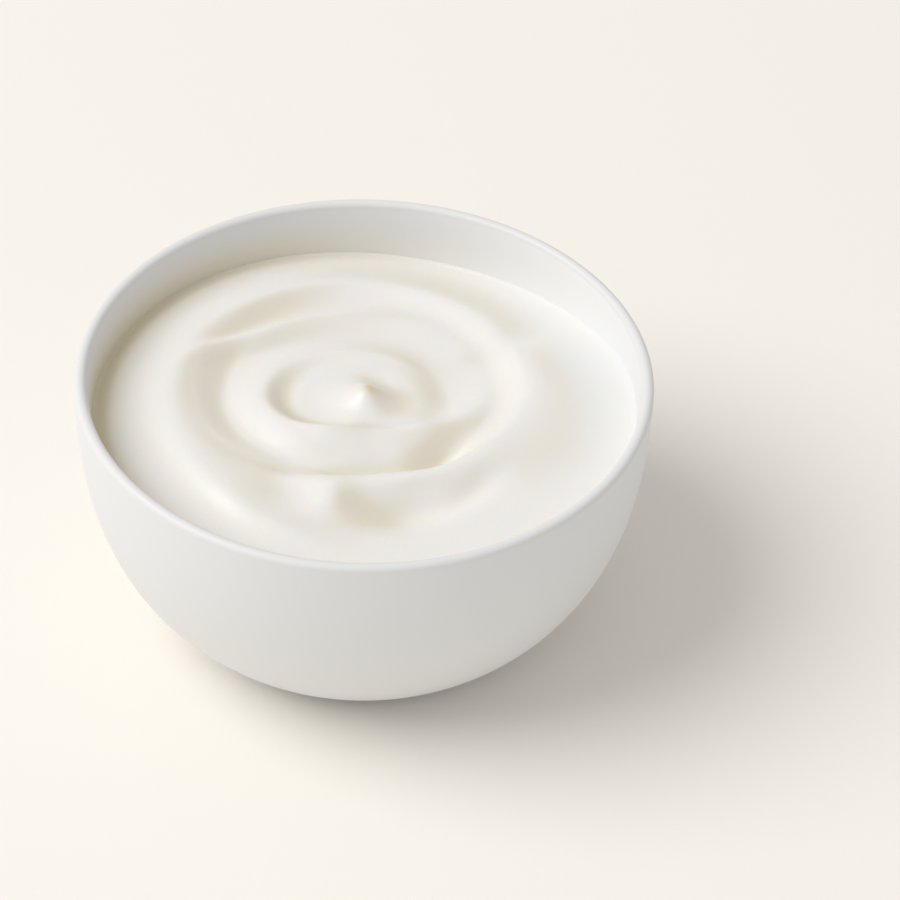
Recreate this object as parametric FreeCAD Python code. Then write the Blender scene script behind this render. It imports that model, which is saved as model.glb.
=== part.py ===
"""A porcelain bowl of stirred yogurt, as two solids: the bowl and what fills it.

Millimetres, +Z up. The origin is the middle of the foot ring, on the surface the bowl stands on.
"""
import FreeCAD, Part
import os
from math import atan2, degrees, exp, hypot, pi

# ---- the bowl's sizes ----
rim_radius = 70.0  # to the outside of the rim
bowl_height = 70.0  # foot to rim
wall = 3.6  # thickness of the side below the lip
lip = 2.6  # thickness at the rounded lip
lip_blend = 4.0  # how far down the lip's thinning fades out
belly_power = 2.62  # how late the side turns in: larger is a fuller belly
shoulder_power = 2.33  # how upright the side stands below the rim
outer_reach = 8.6  # how far under the foot the outer curve would close
inner_reach = 4.0  # how far under the foot the inner curve would close
foot_radius = 39.0  # to the outside of the foot ring
foot_width = 3.4  # of the ring's standing face
foot_height = 2.0
foot_round = 0.6  # rounding of the foot ring's edges
floor_round = 12.0  # rounding between the inner floor and the side
outline_steps = 24  # points along each curved side
same_place = 1e-6  # lengths closer than this count as equal

# ---- the yogurt's sizes ----
fill_depth = 11.8  # rim down to the level of the yogurt at its edge
edge_drop = 1.3  # how far the surface rolls down to the wall at its lowest side, -X
edge_roll = 5.0  # width of that roll
hollow_depth = 2.3  # of the round hollow that the spoon stirred
hollow_radius = 36.5  # to the middle of the hollow's slope
hollow_slope = 9.0  # width of that slope
hollow_middle = (-1.5, 9.5)  # from the bowl's middle
dip_side = 60.0  # degrees from +X to the side where the level sinks towards the wall
dip_depth = 3.8  # how far it sinks there
dip_reach = 55.0  # degrees each way over which the dip fades
dip_start = 40.0  # from the bowl's middle to where it starts to sink
smear_side = 12.0  # degrees from +X to the side where the spoon smeared yogurt up the wall
smear_height = 3.0  # how far up
smear_reach = 38.0  # degrees each way over which the smear fades
smear_start = 51.0  # from the bowl's middle to where it starts to climb
surface_steps = 70  # spans of the surface along each side of its square

# The swirl turns about this point, a little off the bowl's own middle.
swirl_middle = (-1.0, 4.0)

# A fold is a rounded ridge that winds outwards. Its stations hold the turn in degrees, the distance
# from the swirl's middle, the height of the crest, and the widths of its inner and outer slopes.
inner_fold = [
    (70, 20.0, 0.0, 2.6, 4.0),
    (105, 20.5, 1.0, 3.0, 4.5),
    (145, 22.0, 2.1, 3.8, 6.2),
    (185, 23.5, 3.5, 4.5, 7.4),
    (215, 21.5, 4.4, 4.4, 9.2),
    (238, 18.0, 4.4, 4.0, 10.0),
    (262, 14.8, 3.8, 3.8, 10.0),
    (282, 15.0, 3.2, 4.0, 8.6),
    (302, 17.4, 3.4, 5.0, 7.8),
    (328, 21.5, 4.2, 6.0, 7.4),
    (352, 27.5, 2.6, 7.0, 5.5),
    (380, 32.5, 0.5, 6.0, 4.5),
    (430, 34.5, 0.6, 6.0, 4.0),
    (465, 33.0, 1.7, 7.0, 3.0),
    (490, 34.5, 2.7, 7.0, 2.8),
    (508, 37.5, 2.5, 6.0, 2.8),
    (521, 43.0, 0.8, 4.5, 3.0),
    (532, 47.5, 0.0, 4.0, 3.0),
]
outer_fold = [
    (236, 33.5, 0.0, 4.0, 4.0),
    (256, 32.3, 2.2, 4.0, 5.0),
    (282, 31.6, 3.6, 4.0, 5.6),
    (306, 33.4, 3.9, 4.2, 6.8),
    (330, 37.4, 3.8, 5.2, 9.0),
    (355, 42.0, 3.1, 6.6, 10.0),
    (374, 44.0, 2.5, 7.5, 9.0),
    (386, 44.5, 1.4, 7.0, 7.0),
    (400, 45.5, 0.4, 6.0, 5.0),
    (450, 46.0, 0.6, 4.0, 6.0),
    (480, 46.0, 1.2, 3.6, 7.0),
    (508, 46.5, 1.4, 3.6, 7.5),
    (540, 46.0, 1.6, 5.5, 7.5),
    (570, 46.0, 2.1, 10.0, 5.5),
    (592, 48.3, 2.6, 13.0, 4.6),
    (608, 50.5, 1.5, 13.0, 4.6),
    (635, 52.5, 0.0, 12.0, 5.0),
]

# The shallow furrow that the folds leave at their feet has stations too, with depths below zero.
furrow = [
    (196, 40.0, 0.0, 2.4, 2.4),
    (214, 37.5, -0.3, 2.4, 2.4),
    (230, 35.0, -0.4, 2.4, 2.4),
    (248, 31.0, -0.4, 2.4, 2.4),
    (266, 26.6, -0.5, 2.4, 2.4),
    (290, 25.6, -0.7, 2.8, 2.8),
    (316, 27.6, -0.7, 3.0, 3.0),
    (340, 33.0, 0.0, 3.0, 3.0),
]

# Spots pressed in, or raised where the depth is negative: the swirl's angle, the distance, the
# depth, and the half length along the turn and half width across it.
pressed_spots = [
    (286, 42.5, 3.5, 9.0, 6.0),
    (309, 42.5, 1.0, 7.5, 3.4),
    (261, 38.5, -2.3, 4.4, 4.2),
    (33, 42.0, 1.2, 5.0, 9.0),
    (56, 7.4, 0.9, 4.6, 3.6),
    (316, 27.6, 1.5, 6.5, 3.4),
    (187, 37.5, 0.7, 9.0, 4.0),
]

# The pointed peak that the lifted spoon left in the middle.
mound_height = 2.4
mound_radius = 8.5
peak_height = 3.4
peak_radius = 2.6
peak_offset = (1.5, -0.6)  # from the swirl's middle


def smooth_step(value, low, high):
    """0 below low, 1 above high, with a smooth rise between them."""
    t = min(max((value - low) / (high - low), 0.0), 1.0)
    return t * t * (3.0 - 2.0 * t)


def along_stations(turn, stations, column):
    """One column of a fold's stations at this turn, by a smooth cubic through the stations."""
    last = len(stations) - 1
    k = max(i for i in range(last) if stations[i][0] <= turn)

    def slope(i):
        if i in (0, last):
            return 0.0
        before = stations[i - 1]
        after = stations[i + 1]
        return (after[column] - before[column]) / (after[0] - before[0])

    span = stations[k + 1][0] - stations[k][0]
    t = (turn - stations[k][0]) / span
    return (stations[k][column] * (2 * t**3 - 3 * t**2 + 1)
            + stations[k + 1][column] * (3 * t**2 - 2 * t**3)
            + slope(k) * span * (t**3 - 2 * t**2 + t)
            + slope(k + 1) * span * (t**3 - t**2))


def fold_height(turn, distance, stations):
    """Height that one fold adds: a bell curve across its crest, summed over the turns it makes."""
    height = 0.0
    for whole_turn in range(-1, 3):
        here = turn + 360.0 * whole_turn
        if stations[0][0] <= here < stations[-1][0]:
            off_crest = distance - along_stations(here, stations, 1)
            width = along_stations(here, stations, 3 if off_crest < 0 else 4)
            height += along_stations(here, stations, 2) * exp(-(off_crest / width) ** 2)
    return height


def near_side(x, y, side, reach):
    """1 on this side of the bowl, fading to 0 over the reach, in degrees, each way round."""
    away = (degrees(atan2(y, x)) - side + 180.0) % 360.0 - 180.0
    return exp(-(away / reach) ** 2)


def surface_height(x, y):
    """Height of the yogurt's surface above its level at the edge."""
    radius = hypot(x, y)
    dx = x - swirl_middle[0]
    dy = y - swirl_middle[1]
    distance = hypot(dx, dy)
    turn = degrees(atan2(dy, dx))

    from_hollow = hypot(x - hollow_middle[0], y - hollow_middle[1])
    beyond = smooth_step(from_hollow, hollow_radius - hollow_slope / 2.0, hollow_radius + hollow_slope / 2.0)
    height = -hollow_depth * (1.0 - beyond)
    for stations in (inner_fold, outer_fold, furrow):
        height += fold_height(turn, distance, stations)
    for angle, reach, depth, half_length, half_width in pressed_spots:
        along = ((turn - angle + 180.0) % 360.0 - 180.0) * pi / 180.0 * reach
        height -= depth * exp(-(along / half_length) ** 2 - ((distance - reach) / half_width) ** 2)
    height += mound_height * exp(-(distance / mound_radius) ** 2)
    from_peak = hypot(dx - peak_offset[0], dy - peak_offset[1])
    height += peak_height * exp(1.0 - hypot(1.0, from_peak / peak_radius))
    edge = inner_radius(fill_depth)
    height -= dip_depth * near_side(x, y, dip_side, dip_reach) * smooth_step(radius, dip_start, edge)
    climbing = max(min(radius, rim_radius) - smear_start, 0.0) / (edge - smear_start)
    height += smear_height * near_side(x, y, smear_side, smear_reach) * climbing**2
    low_side = 0.5 * (1.0 - x / max(radius, same_place))
    return height - edge_drop * low_side * smooth_step(radius, edge - edge_roll, edge)


floor_depth = bowl_height - foot_height - wall  # rim down to the floor inside
lip_depth = lip / 2.0  # rim down to where the half-round lip begins


def side_curve(depth, reach):
    """The side's radius as a share of the rim's, at this depth below the rim."""
    return (1.0 - (depth / (bowl_height + reach)) ** belly_power) ** (1.0 / shoulder_power)


def outer_radius(depth):
    return rim_radius * side_curve(depth, outer_reach)


def inner_radius(depth):
    """The inside of the wall, which thins towards the lip."""
    thinning = (wall - lip) * exp(-depth / lip_blend)
    return (rim_radius - wall) * side_curve(depth, inner_reach) + thinning


def point(radius, depth):
    return FreeCAD.Vector(radius, 0.0, bowl_height - depth)


def curve_through(points):
    spline = Part.BSplineCurve()
    spline.interpolate(points)
    return spline.toShape()


def revolved(edges):
    face = Part.Face(Part.Wire(edges))
    return face.revolve(FreeCAD.Vector(0, 0, 0), FreeCAD.Vector(0, 0, 1), 360.0)


def side_points(radius_at, top_depth, bottom_depth):
    """Points down one side of the wall, spaced evenly in depth."""
    step = (bottom_depth - top_depth) / outline_steps
    return [point(radius_at(top_depth + step * i), top_depth + step * i) for i in range(outline_steps + 1)]


def rounded_at(solid, height, size):
    """The solid with its round edges at this height above the foot rounded off."""
    edges = [e for e in solid.Edges if isinstance(e.Curve, Part.Circle)
             and abs(e.Vertexes[0].Z - height) < same_place]
    return solid.makeFillet(size, edges)


def cavity():
    """The inside of the bowl from its floor up to where the lip begins to round over."""
    side = side_points(inner_radius, lip_depth, floor_depth)
    corners = [side[-1], point(0.0, floor_depth), point(0.0, lip_depth), side[0]]
    edges = [curve_through(side)] + [Part.makeLine(a, b) for a, b in zip(corners, corners[1:])]
    return rounded_at(revolved(edges), bowl_height - floor_depth, floor_round)


def make_bowl():
    """One outline turned about the axis: outside, foot ring, underside, floor, inside, round lip."""
    side_end = bowl_height - foot_height
    outside = side_points(outer_radius, lip_depth, side_end)
    inside = side_points(inner_radius, lip_depth, floor_depth)
    crown = point((outside[0].x + inside[0].x) / 2.0, 0.0)
    ring_inside = foot_radius - foot_width
    corners = [
        outside[-1],
        point(foot_radius, side_end),
        point(foot_radius, bowl_height),
        point(ring_inside, bowl_height),
        point(ring_inside, side_end),
        point(0.0, side_end),
        point(0.0, floor_depth),
        inside[-1],
    ]
    round_lip = Part.Arc(inside[0], crown, outside[0])
    crown_place = round_lip.parameter(crown)
    edges = [
        round_lip.toShape(round_lip.FirstParameter, crown_place),
        round_lip.toShape(crown_place, round_lip.LastParameter),
        curve_through(outside),
        curve_through(inside),
    ]
    edges += [Part.makeLine(a, b) for a, b in zip(corners, corners[1:])]
    body = revolved(Part.__sortEdges__(edges))
    body = rounded_at(body, 0.0, foot_round)
    return rounded_at(body, bowl_height - floor_depth, floor_round)


def make_yogurt():
    """The cavity's filling, cut off along the top by the stirred surface."""
    level = bowl_height - fill_depth
    half = rim_radius
    step = 2.0 * half / surface_steps
    rows = [[FreeCAD.Vector(-half + step * i, -half + step * j,
                            level + surface_height(-half + step * i, -half + step * j))
             for j in range(surface_steps + 1)]
            for i in range(surface_steps + 1)]
    surface = Part.BSplineSurface()
    surface.interpolate(rows)
    top = surface.toShape()
    # A block from under the bowl up to the surface, closed by four flat sides.
    below = top.extrude(FreeCAD.Vector(0, 0, -2.0 * bowl_height))
    return cavity().common(below)


def check(name, solid):
    """Prints the solid's size and stops if it isn't one closed solid."""
    box = solid.BoundBox
    print(f"{name}: {len(solid.Solids)} solid, valid {solid.isValid()}, volume {solid.Volume / 1000.0:.1f} ml, "
          f"x {box.XMin:.2f}..{box.XMax:.2f}, z {box.ZMin:.2f}..{box.ZMax:.2f}")
    if len(solid.Solids) != 1 or not solid.isValid():
        raise ValueError(f"{name} is not one closed solid")
    return solid.Solids[0]


os.makedirs("parts", exist_ok=True)
for name, build in (("bowl", make_bowl), ("yogurt", make_yogurt)):
    check(name, build()).exportStep(f"parts/{name}.step")
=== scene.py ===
# %% [markdown]
# # A porcelain bowl of stirred yogurt
# The object has two pieces. A smooth white bowl is turned from one outline, and thick yogurt fills it
# to a little below the rim. A spoon has stirred the yogurt, so its surface winds outwards in rounded
# folds round a soft peak. Both pieces are surfaces worked out with numpy and set in the fixed frame.

# %% Load the fixed frame
import math

import bpy
import numpy as np
from mathutils import Matrix, Vector


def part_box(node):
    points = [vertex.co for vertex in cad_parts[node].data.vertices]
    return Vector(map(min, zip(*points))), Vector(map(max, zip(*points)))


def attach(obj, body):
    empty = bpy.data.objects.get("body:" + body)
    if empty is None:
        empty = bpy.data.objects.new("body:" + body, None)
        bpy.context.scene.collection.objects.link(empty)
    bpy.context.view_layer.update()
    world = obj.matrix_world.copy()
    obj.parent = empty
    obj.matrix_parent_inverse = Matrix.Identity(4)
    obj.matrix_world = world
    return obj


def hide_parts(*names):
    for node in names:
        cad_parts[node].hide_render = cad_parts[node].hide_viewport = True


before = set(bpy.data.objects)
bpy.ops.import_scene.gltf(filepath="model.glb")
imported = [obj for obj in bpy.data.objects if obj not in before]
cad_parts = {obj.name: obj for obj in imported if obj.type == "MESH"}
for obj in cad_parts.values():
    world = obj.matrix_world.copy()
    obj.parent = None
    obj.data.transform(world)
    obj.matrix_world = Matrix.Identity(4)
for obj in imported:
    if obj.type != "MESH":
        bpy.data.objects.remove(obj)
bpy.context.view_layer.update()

bowl_low, bowl_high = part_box("bowl")
yogurt_low, yogurt_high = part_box("yogurt")
print("bowl", [round(v, 4) for v in (*bowl_low, *bowl_high)])
print("yogurt", [round(v, 4) for v in (*yogurt_low, *yogurt_high)])

# %% [markdown]
# ## Sizes
# Everything is in metres. The rim and the height come from the frame, and the rest are the sizes a
# potter would write on a drawing: the thickness of the wall and of the lip, the foot ring it stands
# on, and two powers that say how full the belly is. The two reaches say how far under the foot the
# outer and the inner curve would close. `mm` keeps the numbers readable.

# %% Sizes of the bowl and of its filling
mm = 0.001
rim_radius = (bowl_high.x - bowl_low.x) / 2.0
bowl_height = bowl_high.z - bowl_low.z
wall = 3.6 * mm
lip = 2.6 * mm
lip_blend = 4.0 * mm
belly_power = 2.62
shoulder_power = 2.33
outer_reach = 8.6 * mm
inner_reach = 4.0 * mm
foot_radius = 39.0 * mm
foot_width = 3.4 * mm
foot_height = 2.0 * mm
foot_round = 0.6 * mm
floor_round = 12.0 * mm
floor_height = yogurt_low.z
fill_depth = 11.8 * mm
lip_depth = lip / 2.0
print(f"rim {2 * rim_radius / mm:.1f} mm across, {bowl_height / mm:.1f} mm high")
print(f"floor {floor_height / mm:.1f} mm up, yogurt {fill_depth / mm:.1f} mm below the rim")

# %% [markdown]
# ## A turned surface
# A potter's wheel makes a surface of revolution: one outline swept round an axis. The filling is a
# closed skin of the same kind, with rings that may wave up and down. So one helper makes both: it
# takes a grid of rings and closes each end with a single point, so no seam or pole is left open.

# %% Turn a grid of rings into a closed mesh
def ring_mesh(name, grid, first_pole, last_pole):
    """Closed skin over rings of points: quads between rings, and a fan of triangles at each pole.

    grid has the shape (rings, points round, 3). Its rings run so that the faces point outwards.
    """
    rings, around, _ = grid.shape
    points = np.vstack([[first_pole], grid.reshape(-1, 3), [last_pole]])
    index = 1 + np.arange(rings * around).reshape(rings, around)
    beside = np.roll(index, -1, axis=1)
    quads = np.stack([index[:-1], beside[:-1], beside[1:], index[1:]], axis=-1).reshape(-1, 4)
    first_fan = np.stack([np.zeros(around, int), beside[0], index[0]], axis=-1)
    last_fan = np.stack([np.full(around, len(points) - 1), index[-1], beside[-1]], axis=-1)
    mesh = bpy.data.meshes.new(name)
    mesh.from_pydata(points.tolist(), [], quads.tolist() + first_fan.tolist() + last_fan.tolist())
    mesh.shade_smooth()
    mesh.validate()
    piece = bpy.data.objects.new(name, mesh)
    bpy.context.scene.collection.objects.link(piece)
    print(f"{name}: {len(points)} points, {2 * len(quads) + 2 * around} triangles")
    return piece


def turned(outline, around):
    """Rings of an outline of (radius, height) rows: x = radius cos angle, y = radius sin angle."""
    angle = np.linspace(0.0, 2.0 * np.pi, around, endpoint=False)
    radius = outline[:, 0][:, None]
    height = np.broadcast_to(outline[:, 1][:, None], (len(outline), around))
    return np.stack([radius * np.cos(angle), radius * np.sin(angle), height], axis=-1)


# %% [markdown]
# ## The bowl's outline
# A coupe bowl stands nearly upright below its rim and turns in ever faster towards the foot. A
# superellipse does that with two powers. The inside has the same law with its own radius, so the
# wall keeps its thickness, and it thins a little towards the lip, which is rounded over.

# %% The wall's two curves
def side_curve(depth, reach):
    """Share of the full radius at a depth: (1 - (depth / closing depth) ^ belly) ^ (1 / shoulder)."""
    return (1.0 - (depth / (bowl_height + reach)) ** belly_power) ** (1.0 / shoulder_power)


def outer_radius(depth):
    """Outside of the wall at a depth below the rim."""
    return rim_radius * side_curve(depth, outer_reach)


def inner_radius(depth):
    """Inside of the wall: the same law, plus (wall - lip) * exp(-depth / blend) that thins the lip."""
    thinning = (wall - lip) * np.exp(-depth / lip_blend)
    return (rim_radius - wall) * side_curve(depth, inner_reach) + thinning


print(f"wall 20 mm below the rim: {(outer_radius(20 * mm) - inner_radius(20 * mm)) / mm:.2f} mm")

# %% [markdown]
# Corners on glazed pottery are never sharp. A corner is rounded by swapping it for a short curve
# that leaves along one side and arrives along the other: a quadratic Bezier with the corner itself
# as its middle point.

# %% Round off a corner
def rounded_corner(before, corner, after, size, steps=7):
    """Curve (1-t)^2 a + 2t(1-t) corner + t^2 b, with a and b the given size away from the corner."""
    before, corner, after = (np.array(p, float) for p in (before, corner, after))
    a = corner + (before - corner) / np.linalg.norm(before - corner) * size
    b = corner + (after - corner) / np.linalg.norm(after - corner) * size
    t = np.linspace(0.0, 1.0, steps)[:, None]
    return (1 - t) ** 2 * a + 2 * t * (1 - t) * corner + t**2 * b


def wall_points(radius_at, first_depth, last_depth, steps):
    """(radius, height) rows down one side of the wall."""
    depth = np.linspace(first_depth, last_depth, steps)
    return np.column_stack([radius_at(depth), bowl_height - depth])


# %% [markdown]
# ## The bowl
# The outline starts under the middle of the foot, goes out over the foot ring, up the outside, over
# the lip, down the inside and back to the axis. The lip is half an ellipse between the two walls.

# %% Outline and mesh of the bowl
floor_depth = bowl_height - floor_height
side_end = bowl_height - foot_height
ring_inside = foot_radius - foot_width
above_corner = 2.0 * mm

foot_corners = [
    (0.5 * ring_inside, foot_height),
    (ring_inside, foot_height),
    (ring_inside, 0.0),
    (foot_radius, 0.0),
    (foot_radius, foot_height),
    (outer_radius(side_end), foot_height),
    (outer_radius(side_end - above_corner), foot_height + above_corner),
]
foot_outline = np.vstack([
    rounded_corner(*foot_corners[i:i + 3], foot_round) for i in range(len(foot_corners) - 2)
])
outside = wall_points(outer_radius, side_end - foot_round, lip_depth, steps=80)
inside = wall_points(inner_radius, lip_depth, floor_depth - floor_round, steps=50)
lip_angle = np.linspace(0.0, np.pi, num=17)[1:-1]
lip_middle = (outside[-1, 0] + inside[0, 0]) / 2.0
lip_half = (outside[-1, 0] - inside[0, 0]) / 2.0
lip_outline = np.column_stack([
    lip_middle + lip_half * np.cos(lip_angle),
    bowl_height - lip_depth + lip_depth * np.sin(lip_angle),
])
floor_corner = (inner_radius(floor_depth), floor_height)
floor_outline = rounded_corner(inside[-1], floor_corner, (0.0, floor_height), floor_round, steps=16)
bowl_outline = np.vstack([foot_outline, outside, lip_outline, inside, floor_outline])

bowl_around = 320
bowl = ring_mesh(
    "porcelain_bowl",
    turned(bowl_outline, bowl_around)[:, ::-1],
    first_pole=(0.0, 0.0, foot_height),
    last_pole=(0.0, 0.0, floor_height),
)
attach(bowl, "root")
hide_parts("bowl")

# %% [markdown]
# ## The stirred surface
# A spoon drawn round in thick yogurt leaves folds: rounded ridges that wind outwards and meet in
# creases. Each fold here is a path in turn and distance round the swirl's middle. A short list of
# stations gives the distance, the height of the crest and the width of its inner and outer slopes,
# and a smooth cubic runs through them. Two folds make the swirl: the inner one starts behind the peak
# and winds out round it, and the outer one starts at the front and goes right round. A shallow furrow,
# a fold with its height below zero, marks the foot of the inner one.

# %% Stations: turn in degrees, then distance, height, inner and outer width in mm
inner_fold = np.array([
    (20, 19.5, 0.0, 2.6, 3.6),
    (60, 19.0, 0.8, 2.6, 4.0),
    (105, 19.8, 1.3, 3.0, 4.5),
    (145, 22.0, 2.1, 3.8, 6.2),
    (185, 23.5, 3.8, 4.2, 7.4),
    (215, 21.5, 5.0, 4.0, 9.0),
    (238, 18.0, 4.9, 3.8, 10.0),
    (262, 14.8, 3.9, 3.8, 10.0),
    (282, 15.0, 3.2, 4.0, 8.6),
    (302, 17.4, 3.4, 5.0, 7.8),
    (328, 21.5, 4.2, 6.0, 7.4),
    (352, 27.5, 2.6, 7.0, 5.5),
    (380, 32.5, 0.5, 6.0, 4.5),
    (430, 34.5, 0.6, 6.0, 4.0),
    (465, 33.0, 1.8, 5.4, 3.0),
    (490, 34.5, 2.9, 5.0, 2.8),
    (508, 37.5, 2.7, 4.6, 2.8),
    (521, 43.0, 0.8, 4.5, 3.0),
    (532, 47.5, 0.0, 4.0, 3.0),
])
outer_fold = np.array([
    (236, 33.5, 0.0, 4.0, 4.0),
    (256, 32.3, 2.2, 4.0, 5.0),
    (282, 31.6, 3.6, 4.0, 5.6),
    (306, 34.0, 3.6, 4.0, 6.8),
    (330, 37.4, 3.5, 5.2, 13.0),
    (355, 42.0, 2.9, 6.6, 24.0),
    (374, 44.0, 2.5, 7.5, 26.0),
    (386, 44.5, 1.8, 7.0, 18.0),
    (400, 45.5, 0.8, 6.0, 8.0),
    (450, 46.0, 1.0, 4.0, 6.0),
    (480, 46.0, 1.5, 3.6, 7.0),
    (508, 46.5, 1.4, 3.6, 7.5),
    (540, 46.0, 1.6, 5.5, 7.5),
    (570, 46.0, 2.1, 10.0, 5.5),
    (592, 48.3, 2.6, 13.0, 4.6),
    (608, 50.5, 1.5, 13.0, 4.6),
    (635, 52.5, 0.0, 12.0, 5.0),
])
furrow = np.array([
    (196, 40.0, 0.0, 2.4, 2.4),
    (214, 37.5, -0.3, 2.4, 2.4),
    (230, 35.0, -0.4, 2.4, 2.4),
    (248, 31.0, -0.4, 2.4, 2.4),
    (266, 26.6, -0.8, 2.6, 2.6),
    (290, 25.8, -1.3, 3.4, 3.0),
    (316, 27.6, -0.9, 3.2, 3.2),
    (340, 33.0, 0.0, 3.0, 3.0),
])
print(f"inner fold winds {np.ptp(inner_fold[:, 0]):.0f} degrees")
print(f"outer fold winds {np.ptp(outer_fold[:, 0]):.0f} degrees")

# %% [markdown]
# A cubic through stations keeps both the value and the slope of its two ends on every span, so the
# crest runs on with no kink. The slope at a station is that of the line between its neighbours, and
# it is zero at the two ends, where a fold sinks back into the surface.

# %% Smooth curves through stations
def through_stations(turn, stations, column):
    """Hermite cubic of one column, for arrays of turns.

    The two end values times (2t^3 - 3t^2 + 1, 3t^2 - 2t^3), and the two end slopes times the span
    times (t^3 - 2t^2 + t, t^3 - t^2).
    """
    place, value = stations[:, 0], stations[:, column]
    slope = np.zeros(len(value))
    slope[1:-1] = (value[2:] - value[:-2]) / (place[2:] - place[:-2])
    k = np.clip(np.searchsorted(place, turn, side="right") - 1, 0, len(place) - 2)
    span = place[k + 1] - place[k]
    t = (turn - place[k]) / span
    return (value[k] * (2 * t**3 - 3 * t**2 + 1) + value[k + 1] * (3 * t**2 - 2 * t**3)
            + slope[k] * span * (t**3 - 2 * t**2 + t) + slope[k + 1] * span * (t**3 - t**2))


def fold_height(turn, distance, stations):
    """Height * exp(-(distance off the crest / width)^2), added up over the turns the fold makes."""
    height = np.zeros_like(distance)
    for whole_turns in range(-1, 3):
        here = turn + 360.0 * whole_turns
        inside = (here >= stations[0, 0]) & (here < stations[-1, 0])
        off_crest = distance - through_stations(here, stations, 1)
        inner = through_stations(here, stations, 3)
        outer = through_stations(here, stations, 4)
        bell = np.exp(-(off_crest / np.where(off_crest < 0, inner, outer)) ** 2)
        height += np.where(inside, through_stations(here, stations, 2) * bell, 0.0)
    return height


# %% [markdown]
# The folds lie in a round hollow that the spoon pushed out, and a few spots are pressed in or heaped
# up. In the middle is a low round disc, on which the lifted spoon pulled up a soft mound with a small
# pointed peak. Towards the wall the surface sinks at the back right, is smeared up the wall on the
# right, and rolls down a little on the left. Where it touches the wall it climbs in a fine line.

# %% Sizes of the hollow, the spots, the peak and the edge, in mm, with sides in degrees
swirl_middle = (-1.0, 4.0)
hollow_middle = (-1.5, 9.5)
hollow_depth = 2.3
hollow_radius = 36.5
hollow_slope = 9.0
pressed_spots = [  # turn in degrees, then distance, depth, half length and half width in mm
    (288, 42.5, 3.3, 11.0, 5.4),
    (309, 43.5, 1.3, 9.0, 3.3),
    (262, 39.0, -2.2, 6.0, 5.0),
    (33, 42.0, 1.2, 5.0, 9.0),
    (56, 7.4, 0.9, 4.6, 3.6),
    (318, 28.4, 2.9, 8.5, 4.6),
]
disc_height, disc_radius, disc_slope = 1.4, 18.0, 8.0
mound_height, mound_radius = 1.1, 8.0
peak_height, peak_radius = 3.6, 3.2
peak_offset = (1.5, -0.6)
edge_drop, edge_roll = 1.3, 5.0
climb, climb_width = 0.35, 0.8
edge = inner_radius(fill_depth) / mm
dip_side, dip_depth, dip_reach, dip_start = 60.0, 3.8, 55.0, 40.0
smear_side, smear_height, smear_reach, smear_start = 12.0, 2.2, 38.0, 51.0
print(f"the filling meets the wall {edge:.1f} mm from the axis")

# %% [markdown]
# The height is a sum of simple shapes: bell curves, smooth steps and flat tops with soft sides. The
# slope of each one is continuous, so their sum shades like one soft surface.

# %% Shapes that the surface is added up from
def near_side(x, y, side, reach):
    """Bell curve round the bowl: exp(-(degrees away from the side / reach)^2)."""
    away = (np.degrees(np.arctan2(y, x)) - side + 180.0) % 360.0 - 180.0
    return np.exp(-((away / reach) ** 2))


def smooth_step(value, low, high):
    """0 below low, 1 above high, and 3t^2 - 2t^3 between them."""
    t = np.clip((value - low) / (high - low), 0.0, 1.0)
    return t * t * (3.0 - 2.0 * t)


def plateau(distance, radius, slope):
    """1 within the radius and 0 beyond it, with a smooth slope of this width between."""
    return 1.0 - smooth_step(distance, radius - slope / 2.0, radius + slope / 2.0)


def left_share(x, radius):
    """1 at the left of the bowl and 0 at its right: half of (1 - x / radius)."""
    return 0.5 * (1.0 - x / radius)


def from_axis(x, y):
    """Distance from the bowl's axis, and never under 1 mm, since the left share divides by it."""
    return np.maximum(np.hypot(x, y), 1.0)


# %% Height of the surface
def swirl_height(x, y):
    """Hollow, folds, spots, disc, mound and peak added up.

    Spots and mound are bell curves. The peak is narrow with long sides, and its height goes with
    exp(1 - hypot(1, distance / radius)).
    """
    dx, dy = x - swirl_middle[0], y - swirl_middle[1]
    distance = np.hypot(dx, dy)
    turn = np.degrees(np.arctan2(dy, dx))
    from_hollow = np.hypot(x - hollow_middle[0], y - hollow_middle[1])
    height = -hollow_depth * plateau(from_hollow, hollow_radius, hollow_slope)
    height += sum(fold_height(turn, distance, stations) for stations in (inner_fold, outer_fold, furrow))
    for angle, reach, depth, half_length, half_width in pressed_spots:
        along = np.radians((turn - angle + 180.0) % 360.0 - 180.0) * reach
        height -= depth * np.exp(-((along / half_length) ** 2) - ((distance - reach) / half_width) ** 2)
    height += disc_height * plateau(distance, disc_radius, disc_slope)
    height += mound_height * np.exp(-((distance / mound_radius) ** 2))
    from_peak = np.hypot(dx - peak_offset[0], dy - peak_offset[1])
    return height + peak_height * np.exp(1.0 - np.hypot(1.0, from_peak / peak_radius))


def edge_height(x, y):
    """Smear and fine climbing line, less the dip and the roll.

    The smear grows with the square of the way to the wall, and the climb with exp(distance / width).
    """
    radius = from_axis(x, y)
    climbing = np.maximum(radius - smear_start, 0.0) / (edge - smear_start)
    height = smear_height * near_side(x, y, smear_side, smear_reach) * climbing**2
    height -= dip_depth * near_side(x, y, dip_side, dip_reach) * smooth_step(radius, dip_start, edge)
    height -= edge_drop * left_share(x, radius) * smooth_step(radius, edge - edge_roll, edge)
    return height + climb * np.exp((radius - edge) / climb_width)


def surface_height(x, y):
    """Height in mm above the level at the edge."""
    return swirl_height(x, y) + edge_height(x, y)


# %% [markdown]
# ## The yogurt
# Its top is a grid of rings from the middle out to the wall, lifted by the height above. It reaches
# a hair into the wall, so that no gap shows. Then the skin follows the inside of the bowl from under
# the lowest edge down to the floor, so the piece is one closed solid.

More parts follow.
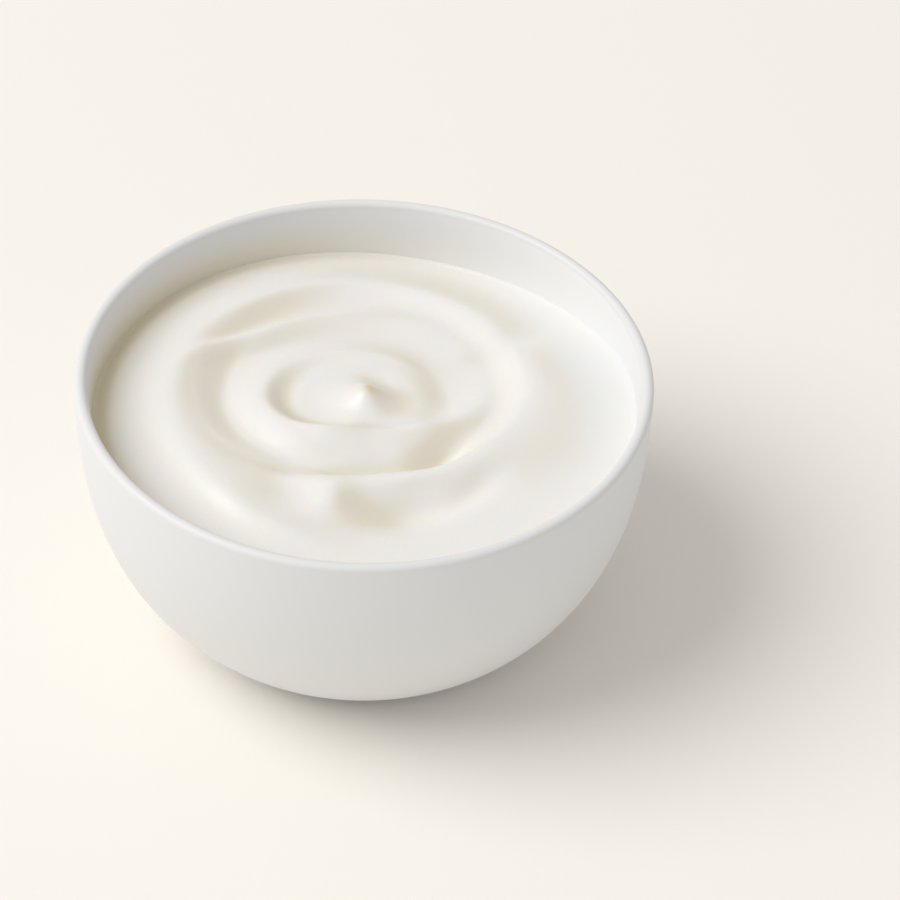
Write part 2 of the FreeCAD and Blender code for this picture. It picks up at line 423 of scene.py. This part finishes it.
# %% Mesh of the yogurt
yogurt_around = 540
top_rings = 150
into_wall = 0.4 * mm
below_edge = 0.5 * mm
level = bowl_height - fill_depth
angle = np.linspace(0.0, 2.0 * np.pi, yogurt_around, endpoint=False)
ring_radius = np.linspace(0.0, edge * mm + into_wall, top_rings + 1)[1:][:, None]
x, y = ring_radius * np.cos(angle), ring_radius * np.sin(angle)
top = np.stack([x, y, level + surface_height(x / mm, y / mm) * mm], axis=-1)
side_start = fill_depth + (edge_drop + dip_depth) * mm + below_edge
side_outline = wall_points(inner_radius, side_start, floor_depth - floor_round, steps=12)
skin = turned(np.vstack([side_outline, floor_outline]), yogurt_around)
middle_height = level + float(surface_height(np.zeros(1), np.zeros(1))[0]) * mm
yogurt = ring_mesh(
    "stirred_yogurt",
    np.vstack([top, skin]),
    first_pole=(0.0, 0.0, middle_height),
    last_pole=(0.0, 0.0, floor_height),
)
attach(yogurt, "root")
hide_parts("yogurt")

# %% [markdown]
# ## Painted warm shade
# Shade on yogurt is warm: light that goes into a fold on its bright side comes out of the other side
# warmer, because milk holds back blue. Deep scattering would show that, slowly and with noise. Here
# one share paints that warm shade instead, worked out from the surface itself: it grows where a place
# lies below its neighbours, as painted shade in the hollows, and where the surface falls away from the
# lamp, to the right and a little to the back. It also paints shade in a line along the wall, most on
# the left, and in a spot on the peak's tip.

# %% Painted warm shade: caps and sizes in mm, and the share at each point
neighbour_reach = 3.2
full_hollow, hollow_share = 5.2, 0.15
full_fall, fall_share, fall_backwards = 0.64, 0.33, 0.23
folds_end, folds_fade = 3.0, 8.0
line_share, line_width = 0.7, 6.0
tip_shade_offset, tip_shade_radius = (1.8, -0.3), 1.6


def give_share(piece, name, share):
    """Keeps one number for each point of a piece, which its finish reads by name."""
    layer = piece.data.attributes.new(name, "FLOAT", "POINT")
    layer.data.foreach_set("value", share.astype(np.float32))


# Painted shade in the folds: hollows, and slopes that fall away from the lamp.
def warm_shade_in_folds(x, y):
    """Hollowness and fall, each scaled and capped, then added.

    Hollowness is the mean of four neighbours less the height here. The fall is the slope down from left
    to right, plus a share of the slope down from front to back.
    """
    reach = neighbour_reach
    right, left = surface_height(x + reach, y), surface_height(x - reach, y)
    back, front = surface_height(x, y + reach), surface_height(x, y - reach)
    hollow = (right + left + back + front) / 4.0 - surface_height(x, y)
    fall = (left - right + fall_backwards * (front - back)) / (2.0 * reach)
    return np.clip(hollow / full_hollow, 0.0, hollow_share) + np.clip(fall / full_fall, 0.0, fall_share)


def warm_shade_at(x, y):
    """Painted shade in the folds, ending short of the wall, plus bell curves at the wall and the tip."""
    radius = from_axis(x, y)
    to_wall = edge - radius
    in_folds = warm_shade_in_folds(x, y) * smooth_step(to_wall, folds_end, folds_fade)
    line = line_share * np.exp(-((to_wall / line_width) ** 2)) * left_share(x, radius) ** 2
    from_tip_shade = np.hypot(x - swirl_middle[0] - tip_shade_offset[0], y - swirl_middle[1] - tip_shade_offset[1])
    return np.clip(in_folds + line + np.exp(-((from_tip_shade / tip_shade_radius) ** 2)), 0.0, 1.0)


# Painted warm shade, kept for each point of the yogurt's top.
warm_shade = np.zeros(len(yogurt.data.vertices))
on_top = slice(1, 1 + x.size)
warm_shade[on_top] = warm_shade_at(x / mm, y / mm).ravel()
give_share(yogurt, "warm_shade", warm_shade)
print(f"cream share: mean {warm_shade[on_top].mean():.2f}, most {warm_shade.max():.2f}")

# %% [markdown]
# On the right the spoon spread the yogurt thinly up the wall. A second share makes it cooler there:
# partly white glaze showing through the smear, partly painted light from the lit wall beside it.

# %% Thin smear and painted light on the right
smear_and_light_side, smear_and_light_start, smear_and_light_end = 20.0, 46.0, 57.0
smear_and_light = np.zeros(len(yogurt.data.vertices))
spread = near_side(x, y, smear_and_light_side, smear_reach) * smooth_step(np.hypot(x, y) / mm, smear_and_light_start, smear_and_light_end)
smear_and_light[on_top] = spread.ravel()
give_share(yogurt, "smear_and_light", smear_and_light)
print(f"thin share: most {smear_and_light.max():.2f}")

# %% [markdown]
# Painted warm shade tints the inside above the filling, strongest at the level and on the left, where
# the wall is in shade, and it fades out towards the lip. On the right, painted light brightens it.

# %% Painted shade and light on the inside of the bowl
wall_shade_bottom, wall_shade_top = -1.0, 11.0
wall_shade_power = 1.5
# Painted light on the right of the inside wall, where the lamp falls.
wall_light_side, wall_light_reach = 32.0, 38.0
inside_start = len(bowl_outline) - len(inside) - len(floor_outline)
on_inside = np.arange(len(bowl_outline)) >= inside_start
fading = 1.0 - smooth_step((bowl_outline[:, 1] - level) / mm, wall_shade_bottom, wall_shade_top)
bowl_grid = turned(bowl_outline, bowl_around)[:, ::-1]
left_side = np.clip(left_share(bowl_grid[..., 0], rim_radius), 0.0, 1.0) ** wall_shade_power
wall_light = near_side(bowl_grid[..., 0], bowl_grid[..., 1], wall_light_side, wall_light_reach)
for name, share in (("wall_shade", fading[:, None] * left_side), ("wall_light", wall_light)):
    whole = np.zeros(len(bowl.data.vertices))
    whole[1:-1] = (on_inside[:, None] * share).ravel()
    give_share(bowl, name, whole)
    print(f"{name} share: most {whole.max():.2f}")

# %% [markdown]
# ## Shader maths as sentences
# The finishes below need a little arithmetic on noise. A small class wraps a socket, so that
# `1 - mask` or `0.2 * a + b` adds the Math nodes by itself. `make` adds any other node.

# %% A socket that can be added and multiplied
class Signal:
    """One output socket of a material's nodes. Adding, multiplying or 1 - signal adds a Math node."""

    def __init__(self, nodes, socket):
        self.nodes = nodes
        self.socket = socket

    def maths(self, operation, first, second):
        """The socket of a new Math node that works on the two values."""
        return make(self.nodes, "ShaderNodeMath", {"operation": operation}, {0: first, 1: second})

    def __add__(self, other):
        return self.maths("ADD", self, other)

    def __rsub__(self, other):
        return self.maths("SUBTRACT", other, self)

    def __mul__(self, other):
        return self.maths("MULTIPLY", self, other)

    __radd__ = __add__
    __rmul__ = __mul__


def make(nodes, kind, settings, inputs, output=0):
    """Adds a node of this kind, with its settings first, then its sockets' values or links."""
    node = nodes.nodes.new(kind)
    for key, value in settings.items():
        setattr(node, key, value)
    for key, value in inputs.items():
        if isinstance(value, Signal):
            nodes.links.new(value.socket, node.inputs[key])
        else:
            node.inputs[key].default_value = value
    return Signal(nodes, node.outputs[output])


def noise(nodes, place, scale, detail=2.0):
    """Soft noise between 0 and 1 over the piece's own coordinates."""
    inputs = {"Vector": place, "Scale": scale, "Detail": detail}
    return make(nodes, "ShaderNodeTexNoise", {}, inputs, "Fac")


def blend_colours(nodes, share, first, second):
    """First colour where the share is 0 and second where it is 1."""
    return make(nodes, "ShaderNodeMix", {"data_type": "RGBA"}, {0: share, 6: first, 7: second}, output=2)


def between(nodes, value, low, high):
    """0 below low, 1 above high and smooth between them."""
    settings = {"interpolation_type": "SMOOTHSTEP"}
    inputs = {"Value": value, "From Min": low, "From Max": high}
    return make(nodes, "ShaderNodeMapRange", settings, inputs)


def share_named(nodes, name):
    """The share that give_share kept for each point under this name."""
    return make(nodes, "ShaderNodeAttribute", {"attribute_name": name}, {}, "Fac")


def uneven(nodes, shader, height, strength, depth):
    """Tilts the shading as if the surface rose and fell by this depth, without moving it."""
    bump = make(nodes, "ShaderNodeBump", {}, {"Strength": strength, "Distance": depth, "Height": height})
    nodes.links.new(bump.socket, shader.inputs["Normal"])


def new_finish(name):
    """A new material, its nodes, its main shader and the piece's own coordinates."""
    finish = bpy.data.materials.new(name)
    finish.use_nodes = True
    nodes = finish.node_tree
    shader = nodes.nodes["Principled BSDF"]
    place = make(nodes, "ShaderNodeTexCoord", {}, {}, "Object")
    return finish, nodes, shader, place


# %% [markdown]
# ## Glazed porcelain
# The glaze is a thin coat of satin glass over a white body. It is even in colour, so its life is in
# the gloss: the coat runs a little thicker and thinner, which moves reflections by a hair. The lip
# is painted a shade darker, as painted shade. The ring it stands on is wiped before firing, so its
# lowest edge is bare and rough. Inside above the filling, painted warm shade tints the left and
# painted light the right.

# %% Finish of the bowl
bare_colour = (0.66, 0.63, 0.58, 1.0)
glaze_colours = (0.785, 0.785, 0.785, 1.0), (0.815, 0.815, 0.815, 1.0)
# Painted shade on the lip, a shade darker than the glaze.
lip_shade_colour = (0.775, 0.77, 0.765, 1.0)
# Painted warm shade on the left of the inside wall.
wall_shade_colour = (0.80, 0.735, 0.57, 1.0)
# Painted light on the right of the inside wall.
wall_light_colour = (0.86, 0.86, 0.855, 1.0)
wiped_height, glazed_height = 0.4 * mm, 0.9 * mm
lip_shade_below_rim, full_lip_shade_below_rim = 2.2 * mm, 0.2 * mm


def porcelain_finish():
    """Glaze with painted shade and light, over bare clay; roughness 0.42 + 0.06 cloud + 0.4 bare."""
    finish, nodes, shader, place = new_finish("glazed_porcelain")
    height = make(nodes, "ShaderNodeSeparateXYZ", {}, {0: place}, "Z")
    glazed = between(nodes, height, wiped_height, glazed_height)
    cloud = noise(nodes, place, scale=22.0)
    glaze = blend_colours(nodes, cloud, *glaze_colours)
    # Painted shade on the lip, growing towards its top.
    lip_shade = between(nodes, height, bowl_height - lip_shade_below_rim, bowl_height - full_lip_shade_below_rim)
    glaze = blend_colours(nodes, lip_shade, glaze, lip_shade_colour)
    # Painted warm shade on the left of the inside wall above the filling.
    glaze = blend_colours(nodes, share_named(nodes, "wall_shade"), glaze, wall_shade_colour)
    # Painted light on the right of the inside wall.
    glaze = blend_colours(nodes, share_named(nodes, "wall_light"), glaze, wall_light_colour)
    colour = blend_colours(nodes, glazed, bare_colour, glaze)
    nodes.links.new(colour.socket, shader.inputs["Base Color"])
    rough = 0.42 + 0.06 * cloud + 0.4 * (1 - glazed)
    nodes.links.new(rough.socket, shader.inputs["Roughness"])
    ripple = noise(nodes, place, scale=60.0)
    uneven(nodes, shader, ripple, strength=0.15, depth=0.1 * mm)
    shader.inputs["Coat Weight"].default_value = 0.1
    shader.inputs["Coat Roughness"].default_value = 0.25
    shader.inputs["Specular IOR Level"].default_value = 0.3
    return finish


bowl.data.materials.append(porcelain_finish())
print("bowl wears", bowl.data.materials[0].name)

# %% [markdown]
# ## Yogurt
# Light goes a little way into yogurt, which softens its shading. Subsurface scattering does that, and
# under it the colour takes the painted warm shade, then the smear and painted light on the right.
# The skin is moist: a soft gloss, a little sharper in some places, over fine unevenness that the
# spoon left.

# %% Finish of the yogurt
milk_colours = (0.838, 0.815, 0.78, 1.0), (0.862, 0.84, 0.805, 1.0)
# Painted warm shade in the folds, at the wall and on the tip.
warm_shade_colour = (0.735, 0.635, 0.40, 1.0)
# Cooler colour near the right wall: the smear, and painted light from the lit wall.
smear_and_light_colour = (0.825, 0.825, 0.81, 1.0)


def yogurt_finish():
    """Milk, then painted warm shade, then the smear and painted light; roughness 0.3 + 0.12 cloud."""
    finish, nodes, shader, place = new_finish("whole_milk_yogurt")
    cloud = noise(nodes, place, scale=45.0, detail=3.0)
    milk = blend_colours(nodes, cloud, *milk_colours)
    # Painted warm shade in the folds, at the wall and on the tip.
    colour = blend_colours(nodes, share_named(nodes, "warm_shade"), milk, warm_shade_colour)
    # Painted light from the lit wall, with the thinly spread smear, near the right wall.
    colour = blend_colours(nodes, share_named(nodes, "smear_and_light"), colour, smear_and_light_colour)
    nodes.links.new(colour.socket, shader.inputs["Base Color"])
    rough = 0.3 + 0.12 * cloud
    nodes.links.new(rough.socket, shader.inputs["Roughness"])
    skin_waves = noise(nodes, place, scale=260.0, detail=3.0)
    uneven(nodes, shader, skin_waves, strength=0.12, depth=0.15 * mm)
    shader.inputs["Subsurface Weight"].default_value = 0.3
    shader.inputs["Subsurface Radius"].default_value = (1.0, 0.65, 0.4)
    shader.inputs["Subsurface Scale"].default_value = 0.6 * mm
    shader.inputs["Specular IOR Level"].default_value = 0.6
    return finish


yogurt.data.materials.append(yogurt_finish())
print("yogurt wears", yogurt.data.materials[0].name)

# %% [markdown]
# ## Floor and light
# A pale floor and a large soft lamp from high on the left show the folds: slopes that face the lamp
# shine and the others fall into half shade, warmed by the painted warm shade. The even sky fills
# the shadows.

# %% Floor
floor_half = 8.0
floor_corners = [
    (-floor_half, -floor_half, bowl_low.z),
    (floor_half, -floor_half, bowl_low.z),
    (floor_half, floor_half, bowl_low.z),
    (-floor_half, floor_half, bowl_low.z),
]
floor_mesh = bpy.data.meshes.new("floor")
floor_mesh.from_pydata(floor_corners, [], [(0, 1, 2, 3)])
floor = bpy.data.objects.new("floor", floor_mesh)
bpy.context.scene.collection.objects.link(floor)
floor_finish, _, floor_shader, _ = new_finish("pale_floor")
floor_shader.inputs["Base Color"].default_value = (0.93, 0.895, 0.83, 1.0)
floor_shader.inputs["Roughness"].default_value = 0.9
floor_shader.inputs["Specular IOR Level"].default_value = 0.1
floor.data.materials.append(floor_finish)

# %% Lamp and sky
lamp_distance = 4.5
lamp_size = 3.6
lamp_power = 134.0
lamp_direction = Vector((-0.62, -0.12, 0.77)).normalized()
lamp_data = bpy.data.lights.new("soft_lamp", "AREA")
lamp_data.shape = "DISK"
lamp_data.size = lamp_size
lamp_data.energy = lamp_power
lamp = bpy.data.objects.new("soft_lamp", lamp_data)
lamp.location = lamp_direction * lamp_distance
lamp.rotation_mode = "QUATERNION"
lamp.rotation_quaternion = lamp_direction.to_track_quat("Z", "Y")
bpy.context.scene.collection.objects.link(lamp)

sky_strength = 0.55
sky = bpy.data.worlds.new("even_sky")
sky.use_nodes = True
background = sky.node_tree.nodes["Background"]
background.inputs["Color"].default_value = (1.0, 1.0, 1.0, 1.0)
background.inputs["Strength"].default_value = sky_strength
bpy.context.scene.world = sky
bpy.context.scene.view_settings.view_transform = "Standard"

# %% [markdown]
# ## Camera
# A long lens from above the front of the bowl, tilted a little, sees into it and down its side.

# %% Camera
lens_length, sensor_width = 135.9, 36.0  # in mm
camera_distance = 0.8
camera_elevation = math.radians(41.0)
camera_roll = math.radians(2.35)
aim = Vector((0.0213, -0.0277, bowl_high.z))
forward = Vector((0.0, math.cos(camera_elevation), -math.sin(camera_elevation)))
side = Vector((1.0, 0.0, 0.0))
rise = Vector((0.0, math.sin(camera_elevation), math.cos(camera_elevation)))
right = side * math.cos(camera_roll) + rise * math.sin(camera_roll)
up = rise * math.cos(camera_roll) - side * math.sin(camera_roll)
camera_data = bpy.data.cameras.new("camera")
camera_data.lens = lens_length
camera_data.sensor_width = sensor_width
camera = bpy.data.objects.new("camera", camera_data)
bpy.context.scene.collection.objects.link(camera)
turn_to = Matrix((right, up, -forward)).transposed().to_4x4()
camera.matrix_world = Matrix.Translation(aim - forward * camera_distance) @ turn_to
bpy.context.scene.camera = camera
